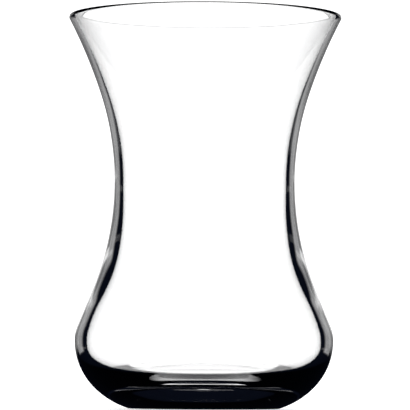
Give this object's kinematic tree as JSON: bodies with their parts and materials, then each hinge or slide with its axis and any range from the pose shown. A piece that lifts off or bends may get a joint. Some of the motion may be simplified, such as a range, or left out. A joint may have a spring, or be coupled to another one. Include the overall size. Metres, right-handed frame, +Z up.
{
  "type": "turkish tea glass",
  "caption": "Empty clear tulip-shaped tea glass with a flared mouth, a narrow waist, a round belly and a thick base, with no handle.",
  "frame": {"origin": "centre of the foot, on the plane that the glass stands on", "axes": "+Z up along the axis of the glass, towards the mouth; the glass is round, so +X and +Y are alike, and the picture's camera looks along +Y"},
  "size_m": [0.059, 0.059, 0.085],
  "materials": {
    "glass": "clear and glossy"
  },
  "bodies": {
    "root": {"glass": "glass"}
  },
  "joints": []
}
